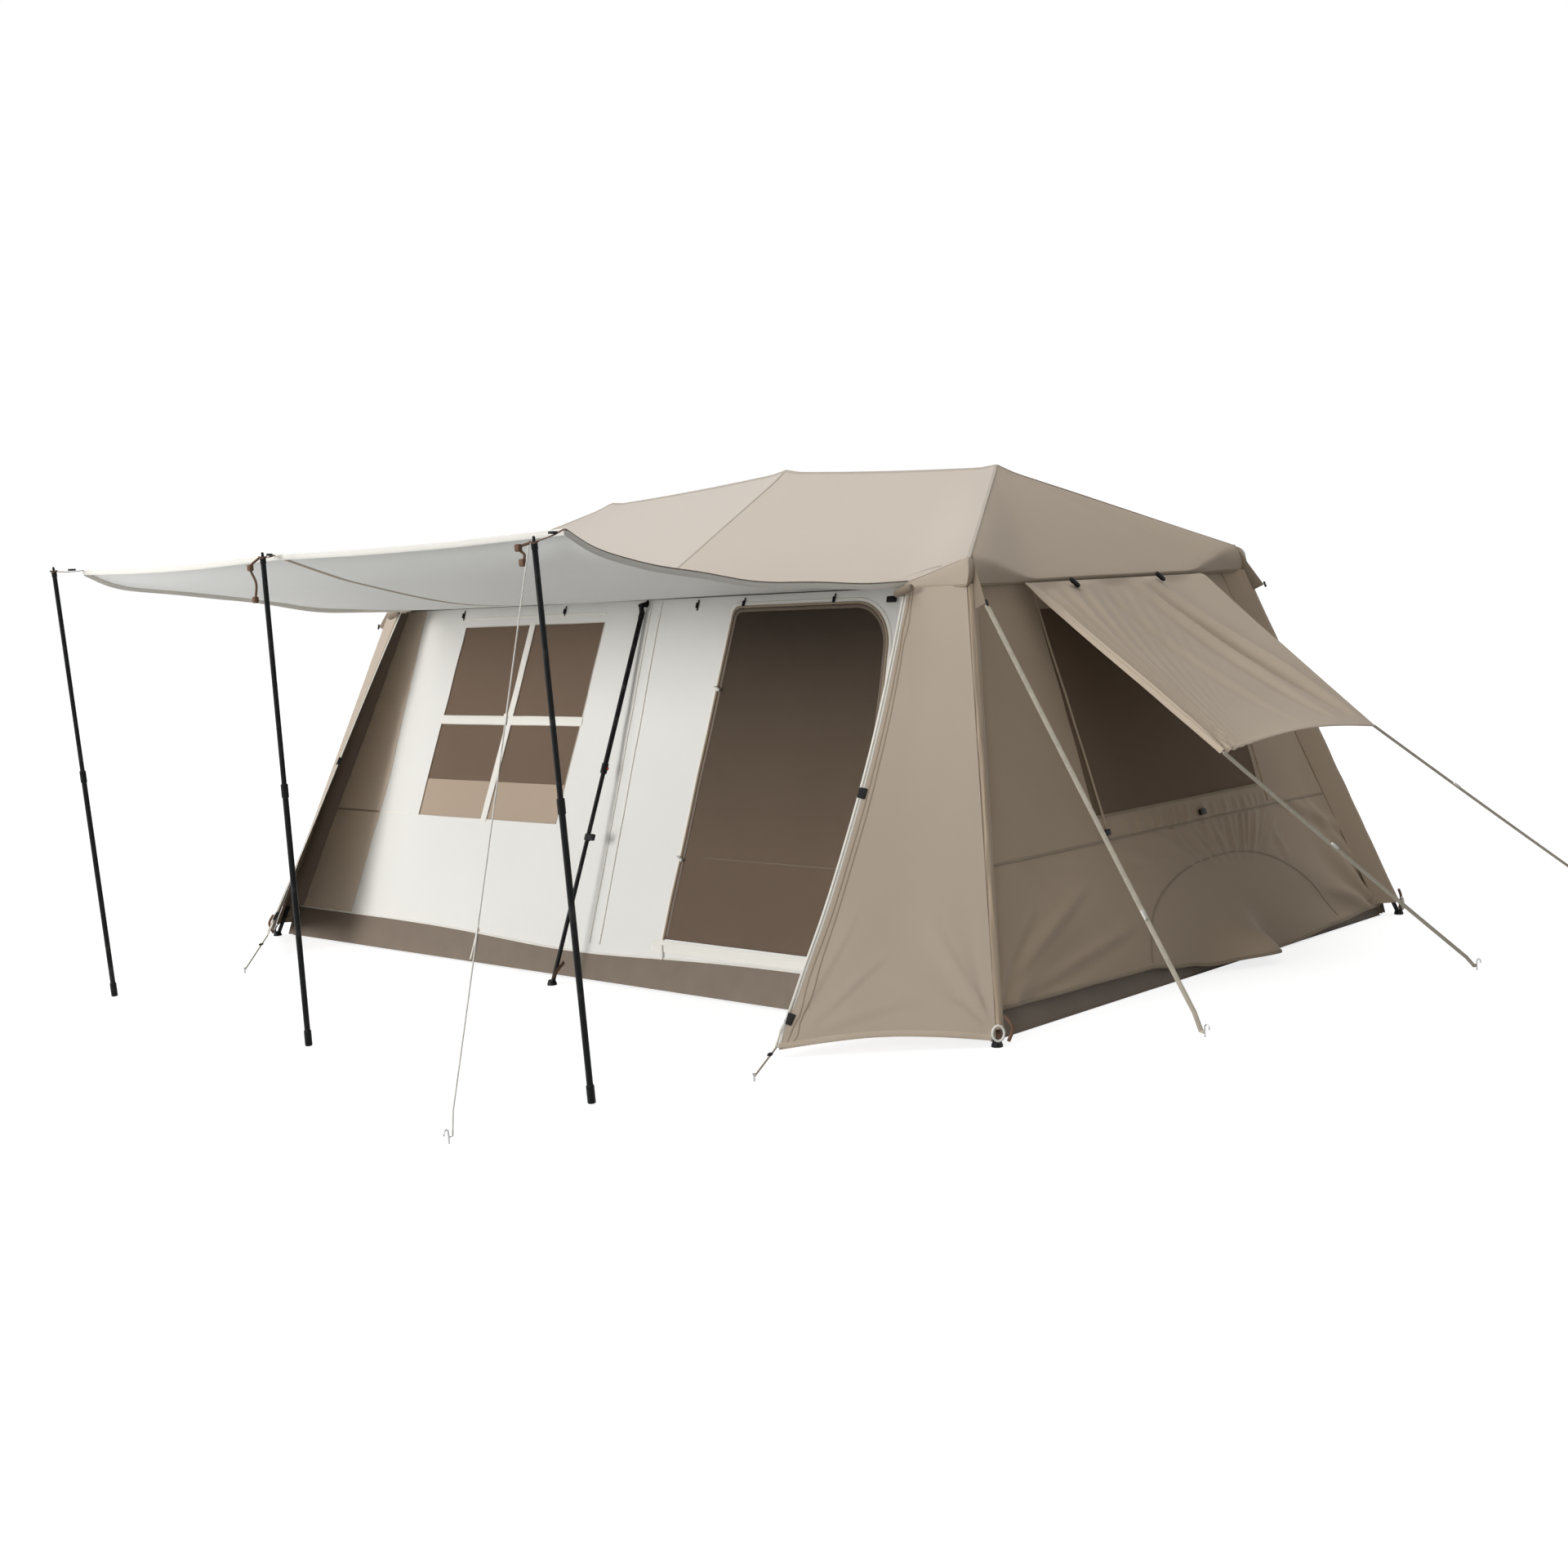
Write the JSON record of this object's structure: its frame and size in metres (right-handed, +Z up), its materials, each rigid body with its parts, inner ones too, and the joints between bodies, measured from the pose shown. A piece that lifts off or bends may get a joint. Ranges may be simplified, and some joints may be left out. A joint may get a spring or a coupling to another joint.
{
  "type": "ridge tent",
  "caption": "Quick-pitch cabin tent: hipped ridge roof on a folding frame of hubs, arms, elbows and push-button legs, with a pole-held front awning, side wings and window flaps.",
  "frame": {"origin": "middle of the groundsheet's underside, on the ground", "axes": "+X along the ridge, -Y towards the awning, +Z up"},
  "size_m": [5.5412, 5.2535, 2.1659],
  "materials": {
    "frame_black": "satin",
    "hub_plastic": "matte",
    "button_red": "gloss",
    "pole_black": "satin",
    "fly_khaki": "matte",
    "wall_cream": "matte",
    "mesh_brown": "matte",
    "ground_brown": "matte",
    "guy_cord": "matte",
    "peg_steel": "satin"
  },
  "bodies": {
    "tent_shell": {"groundsheet": "ground_brown", "front_wall": "wall_cream", "front_window": "mesh_brown", "back_wall": "fly_khaki", "end_wall_left": "fly_khaki", "end_wall_right": "fly_khaki", "end_window_left": "mesh_brown", "end_window_right": "mesh_brown", "wing_left": "fly_khaki", "wing_right": "fly_khaki", "roof_front_and_awning": "fly_khaki", "roof_back": "fly_khaki", "roof_hip_left": "fly_khaki", "roof_hip_right": "fly_khaki", "guy_corner": "guy_cord", "guy_pole": "guy_cord", "peg_corner": "peg_steel", "peg_flap_near": "peg_steel", "peg_flap_far": "peg_steel", "peg_pole": "peg_steel"},
    "middle_hub": {"ridge_hub_middle": "hub_plastic"},
    "left_ridge_pole": {"ridge_pole_left": "frame_black"},
    "left_hub": {"ridge_hub_left": "hub_plastic"},
    "right_ridge_pole": {"ridge_pole_right": "frame_black"},
    "right_hub": {"ridge_hub_right": "hub_plastic"},
    "front_left_arm": {"roof_arm_front_left": "frame_black"},
    "front_left_upper_leg": {"upper_leg_front_left": "frame_black"},
    "front_left_button": {"leg_button_front_left": "button_red"},
    "front_left_lower_leg": {"lower_leg_front_left": "frame_black"},
    "front_middle_arm": {"roof_arm_front_middle": "frame_black"},
    "front_middle_upper_leg": {"upper_leg_front_middle": "frame_black"},
    "front_middle_button": {"leg_button_front_middle": "button_red"},
    "front_middle_lower_leg": {"lower_leg_front_middle": "frame_black"},
    "front_right_arm": {"roof_arm_front_right": "frame_black"},
    "front_right_upper_leg": {"upper_leg_front_right": "frame_black"},
    "front_right_button": {"leg_button_front_right": "button_red"},
    "front_right_lower_leg": {"lower_leg_front_right": "frame_black"},
    "back_left_arm": {"roof_arm_back_left": "frame_black"},
    "back_left_upper_leg": {"upper_leg_back_left": "frame_black"},
    "back_left_button": {"leg_button_back_left": "button_red"},
    "back_left_lower_leg": {"lower_leg_back_left": "frame_black"},
    "back_middle_arm": {"roof_arm_back_middle": "frame_black"},
    "back_middle_upper_leg": {"upper_leg_back_middle": "frame_black"},
    "back_middle_button": {"leg_button_back_middle": "button_red"},
    "back_middle_lower_leg": {"lower_leg_back_middle": "frame_black"},
    "back_right_arm": {"roof_arm_back_right": "frame_black"},
    "back_right_upper_leg": {"upper_leg_back_right": "frame_black"},
    "back_right_button": {"leg_button_back_right": "button_red"},
    "back_right_lower_leg": {"lower_leg_back_right": "frame_black"},
    "left_pole_lower": {"awning_pole_lower_left": "pole_black"},
    "left_pole_upper": {"awning_pole_upper_left": "pole_black"},
    "middle_pole_lower": {"awning_pole_lower_middle": "pole_black"},
    "middle_pole_upper": {"awning_pole_upper_middle": "pole_black"},
    "right_pole_lower": {"awning_pole_lower_right": "pole_black"},
    "right_pole_upper": {"awning_pole_upper_right": "pole_black"},
    "flap_guy_near": {"guy_flap_near": "guy_cord"},
    "flap_guy_far": {"guy_flap_far": "guy_cord"},
    "door": {"door_panel": "mesh_brown"},
    "left_flap": {"window_flap_left": "fly_khaki"},
    "right_flap": {"window_flap_right": "fly_khaki"}
  },
  "joints": [
    {"name": "frame_fold", "type": "slide", "parent": "tent_shell", "child": "middle_hub", "axis": [0, 0, 1], "range_m": [-0.85, 0], "deforming": ["groundsheet", "front_wall", "front_window", "back_wall", "end_wall_left", "end_wall_right", "end_window_left", "end_window_right", "wing_left", "wing_right", "roof_front_and_awning", "roof_back", "roof_hip_left", "roof_hip_right", "door_panel", "window_flap_left", "window_flap_right", "guy_corner", "guy_pole"]},
    {"name": "ridge_pole_left_fold", "type": "hinge", "parent": "middle_hub", "child": "left_ridge_pole", "pos_m": [-0.045, 0, 2.112], "axis": [0, 1, 0], "range_deg": [-87.21, 0]},
    {"name": "ridge_hub_left_turn", "type": "hinge", "parent": "left_ridge_pole", "child": "left_hub", "pos_m": [-1.195, 0, 2.05], "axis": [0, 1, 0], "range_deg": [0, 87.21]},
    {"name": "ridge_pole_right_fold", "type": "hinge", "parent": "middle_hub", "child": "right_ridge_pole", "pos_m": [0.045, 0, 2.112], "axis": [0, 1, 0], "range_deg": [0, 87.21]},
    {"name": "ridge_hub_right_turn", "type": "hinge", "parent": "right_ridge_pole", "child": "right_hub", "pos_m": [1.195, 0, 2.05], "axis": [0, 1, 0], "range_deg": [-87.21, 0]},
    {"name": "roof_arm_front_left_swing", "type": "hinge", "parent": "left_hub", "child": "front_left_arm", "pos_m": [-1.263, -0.03868, 2.05], "axis": [-0.8595, 0.5112, 0], "range_deg": [0, 109.92]},
    {"name": "elbow_front_left_fold", "type": "hinge", "parent": "front_left_arm", "child": "front_left_upper_leg", "pos_m": [-1.80088, -0.9403, 1.66094], "axis": [0.8724, -0.4793, -0.0954], "range_deg": [0, 132.49]},
    {"name": "leg_front_left_slide", "type": "slide", "parent": "front_left_upper_leg", "child": "front_left_lower_leg", "axis": [-0.2656, -0.3012, -0.9158], "range_m": [-0.76, 0]},
    {"name": "leg_button_front_left_press", "type": "slide", "parent": "front_left_upper_leg", "child": "front_left_button", "axis": [-0.4422, -0.806, 0.3934], "range_m": [-0.003, 0], "stiffness_N_per_m": 300, "springref_m": 0.001},
    {"name": "roof_arm_front_middle_swing", "type": "hinge", "parent": "middle_hub", "child": "front_middle_arm", "pos_m": [0, -0.045, 2.112], "axis": [-1, 0, 0], "range_deg": [-59.43, 0]},
    {"name": "elbow_front_middle_fold", "type": "hinge", "parent": "front_middle_arm", "child": "front_middle_upper_leg", "pos_m": [0, -0.96618, 1.57763], "axis": [1, 0, 0], "range_deg": [-216.07, 0]},
    {"name": "leg_front_middle_slide", "type": "slide", "parent": "front_middle_upper_leg", "child": "front_middle_lower_leg", "axis": [0, -0.3804, -0.9248], "range_m": [-0.65, 0]},
    {"name": "leg_button_front_middle_press", "type": "slide", "parent": "front_middle_upper_leg", "child": "front_middle_button", "axis": [1, 0, 0], "range_m": [-0.003, 0], "stiffness_N_per_m": 300, "springref_m": 0.001},
    {"name": "roof_arm_front_right_swing", "type": "hinge", "parent": "right_hub", "child": "front_right_arm", "pos_m": [1.263, -0.03868, 2.05], "axis": [-0.8595, -0.5112, 0], "range_deg": [0, 109.92]},
    {"name": "elbow_front_right_fold", "type": "hinge", "parent": "front_right_arm", "child": "front_right_upper_leg", "pos_m": [1.80088, -0.9403, 1.66094], "axis": [0.8724, 0.4793, 0.0954], "range_deg": [0, 132.49]},
    {"name": "leg_front_right_slide", "type": "slide", "parent": "front_right_upper_leg", "child": "front_right_lower_leg", "axis": [0.2656, -0.3012, -0.9158], "range_m": [-0.76, 0]},
    {"name": "leg_button_front_right_press", "type": "slide", "parent": "front_right_upper_leg", "child": "front_right_button", "axis": [0.4422, -0.806, 0.3934], "range_m": [-0.003, 0], "stiffness_N_per_m": 300, "springref_m": 0.001},
    {"name": "roof_arm_back_left_swing", "type": "hinge", "parent": "left_hub", "child": "back_left_arm", "pos_m": [-1.263, 0.03868, 2.05], "axis": [0.8595, 0.5112, 0], "range_deg": [0, 109.92]},
    {"name": "elbow_back_left_fold", "type": "hinge", "parent": "back_left_arm", "child": "back_left_upper_leg", "pos_m": [-1.80088, 0.9403, 1.66094], "axis": [-0.8724, -0.4793, 0.0954], "range_deg": [0, 132.49]},
    {"name": "leg_back_left_slide", "type": "slide", "parent": "back_left_upper_leg", "child": "back_left_lower_leg", "axis": [-0.2656, 0.3012, -0.9158], "range_m": [-0.76, 0]},
    {"name": "leg_button_back_left_press", "type": "slide", "parent": "back_left_upper_leg", "child": "back_left_button", "axis": [-0.4422, 0.806, 0.3934], "range_m": [-0.003, 0], "stiffness_N_per_m": 300, "springref_m": 0.001},
    {"name": "roof_arm_back_middle_swing", "type": "hinge", "parent": "middle_hub", "child": "back_middle_arm", "pos_m": [0, 0.045, 2.112], "axis": [1, 0, 0], "range_deg": [-59.43, 0]},
    {"name": "elbow_back_middle_fold", "type": "hinge", "parent": "back_middle_arm", "child": "back_middle_upper_leg", "pos_m": [0, 0.96618, 1.57763], "axis": [-1, 0, 0], "range_deg": [-216.07, 0]},
    {"name": "leg_back_middle_slide", "type": "slide", "parent": "back_middle_upper_leg", "child": "back_middle_lower_leg", "axis": [0, 0.3804, -0.9248], "range_m": [-0.65, 0]},
    {"name": "leg_button_back_middle_press", "type": "slide", "parent": "back_middle_upper_leg", "child": "back_middle_button", "axis": [1, 0, 0], "range_m": [-0.003, 0], "stiffness_N_per_m": 300, "springref_m": 0.001},
    {"name": "roof_arm_back_right_swing", "type": "hinge", "parent": "right_hub", "child": "back_right_arm", "pos_m": [1.263, 0.03868, 2.05], "axis": [0.8595, -0.5112, 0], "range_deg": [0, 109.92]},
    {"name": "elbow_back_right_fold", "type": "hinge", "parent": "back_right_arm", "child": "back_right_upper_leg", "pos_m": [1.80088, 0.9403, 1.66094], "axis": [-0.8724, 0.4793, -0.0954], "range_deg": [0, 132.49]},
    {"name": "leg_back_right_slide", "type": "slide", "parent": "back_right_upper_leg", "child": "back_right_lower_leg", "axis": [0.2656, 0.3012, -0.9158], "range_m": [-0.76, 0]},
    {"name": "leg_button_back_right_press", "type": "slide", "parent": "back_right_upper_leg", "child": "back_right_button", "axis": [0.4422, 0.806, 0.3934], "range_m": [-0.003, 0], "stiffness_N_per_m": 300, "springref_m": 0.001},
    {"name": "awning_pole_left_lay", "type": "hinge", "parent": "tent_shell", "child": "left_pole_lower", "pos_m": [-1.555, -2.775, 0.017], "axis": [0, 1, 0], "range_deg": [-88.8, 0]},
    {"name": "awning_pole_left_slide", "type": "slide", "parent": "left_pole_lower", "child": "left_pole_upper", "axis": [-0.0162, -0.0512, 0.9986], "range_m": [-0.551, 0]},
    {"name": "awning_pole_middle_lay", "type": "hinge", "parent": "tent_shell", "child": "middle_pole_lower", "pos_m": [0.08, -2.85, 0.017], "axis": [0, 1, 0], "range_deg": [-88.8, 0]},
    {"name": "awning_pole_middle_slide", "type": "slide", "parent": "middle_pole_lower", "child": "middle_pole_upper", "axis": [0.0082, -0.0256, 0.9996], "range_m": [-0.551, 0]},
    {"name": "awning_pole_right_lay", "type": "hinge", "parent": "tent_shell", "child": "right_pole_lower", "pos_m": [1.655, -2.81, 0.017], "axis": [0, 1, 0], "range_deg": [-88.8, 0]},
    {"name": "awning_pole_right_slide", "type": "slide", "parent": "right_pole_lower", "child": "right_pole_upper", "axis": [-0.0221, -0.0332, 0.9992], "range_m": [-0.551, 0]},
    {"name": "flap_guy_near_lay", "type": "hinge", "parent": "tent_shell", "child": "flap_guy_near", "pos_m": [3.11869, 0.48197, 0.02], "axis": [-0.9158, 0.4015, 0], "range_deg": [-38.19, 0], "deforming": ["guy_flap_near"]},
    {"name": "flap_guy_far_lay", "type": "hinge", "parent": "tent_shell", "child": "flap_guy_far", "pos_m": [3.21868, 1.84998, 0.02], "axis": [-0.9147, 0.4042, 0], "range_deg": [-33.03, 0], "deforming": ["guy_flap_far"]},
    {"name": "door_fall", "type": "hinge", "parent": "tent_shell", "child": "door", "pos_m": [0, -1.3882, 0.2069], "axis": [1, 0, 0], "range_deg": [0, 115]},
    {"name": "window_flap_right_swing", "type": "hinge", "parent": "tent_shell", "child": "right_flap", "pos_m": [1.838, 0, 1.594], "axis": [0, -1, 0], "range_deg": [-33, 0]},
    {"name": "window_flap_left_swing", "type": "hinge", "parent": "tent_shell", "child": "left_flap", "pos_m": [-1.838, 0, 1.594], "axis": [0, 1, 0], "range_deg": [0, 33]}
  ],
  "couplings": [
    {"joint": "ridge_pole_left_fold", "follows": "frame_fold", "rad_per_m": 1.7846},
    {"joint": "ridge_hub_left_turn", "follows": "frame_fold", "rad_per_m": -1.7846},
    {"joint": "ridge_pole_right_fold", "follows": "frame_fold", "rad_per_m": -1.7846},
    {"joint": "ridge_hub_right_turn", "follows": "frame_fold", "rad_per_m": 1.7846},
    {"joint": "roof_arm_front_left_swing", "follows": "frame_fold", "rad_per_m": -2.2509},
    {"joint": "elbow_front_left_fold", "follows": "frame_fold", "rad_per_m": -2.7143},
    {"joint": "leg_front_left_slide", "follows": "frame_fold", "ratio": 0.89304},
    {"joint": "roof_arm_front_middle_swing", "follows": "frame_fold", "rad_per_m": 1.2141},
    {"joint": "elbow_front_middle_fold", "follows": "frame_fold", "rad_per_m": 4.4304},
    {"joint": "leg_front_middle_slide", "follows": "frame_fold", "ratio": 0.7633},
    {"joint": "roof_arm_front_right_swing", "follows": "frame_fold", "rad_per_m": -2.2509},
    {"joint": "elbow_front_right_fold", "follows": "frame_fold", "rad_per_m": -2.7143},
    {"joint": "leg_front_right_slide", "follows": "frame_fold", "ratio": 0.89304},
    {"joint": "roof_arm_back_left_swing", "follows": "frame_fold", "rad_per_m": -2.2509},
    {"joint": "elbow_back_left_fold", "follows": "frame_fold", "rad_per_m": -2.7143},
    {"joint": "leg_back_left_slide", "follows": "frame_fold", "ratio": 0.89304},
    {"joint": "roof_arm_back_middle_swing", "follows": "frame_fold", "rad_per_m": 1.2141},
    {"joint": "elbow_back_middle_fold", "follows": "frame_fold", "rad_per_m": 4.4304},
    {"joint": "leg_back_middle_slide", "follows": "frame_fold", "ratio": 0.7633},
    {"joint": "roof_arm_back_right_swing", "follows": "frame_fold", "rad_per_m": -2.2509},
    {"joint": "elbow_back_right_fold", "follows": "frame_fold", "rad_per_m": -2.7143},
    {"joint": "leg_back_right_slide", "follows": "frame_fold", "ratio": 0.89304},
    {"joint": "awning_pole_left_lay", "follows": "frame_fold", "rad_per_m": 1.8172},
    {"joint": "awning_pole_left_slide", "follows": "frame_fold", "ratio": 0.64706},
    {"joint": "awning_pole_middle_lay", "follows": "frame_fold", "rad_per_m": 1.8172},
    {"joint": "awning_pole_middle_slide", "follows": "frame_fold", "ratio": 0.64706},
    {"joint": "awning_pole_right_lay", "follows": "frame_fold", "rad_per_m": 1.8172},
    {"joint": "awning_pole_right_slide", "follows": "frame_fold", "ratio": 0.64706},
    {"joint": "flap_guy_near_lay", "follows": "frame_fold", "rad_per_m": 0.77798},
    {"joint": "flap_guy_far_lay", "follows": "frame_fold", "rad_per_m": 0.67216}
  ]
}
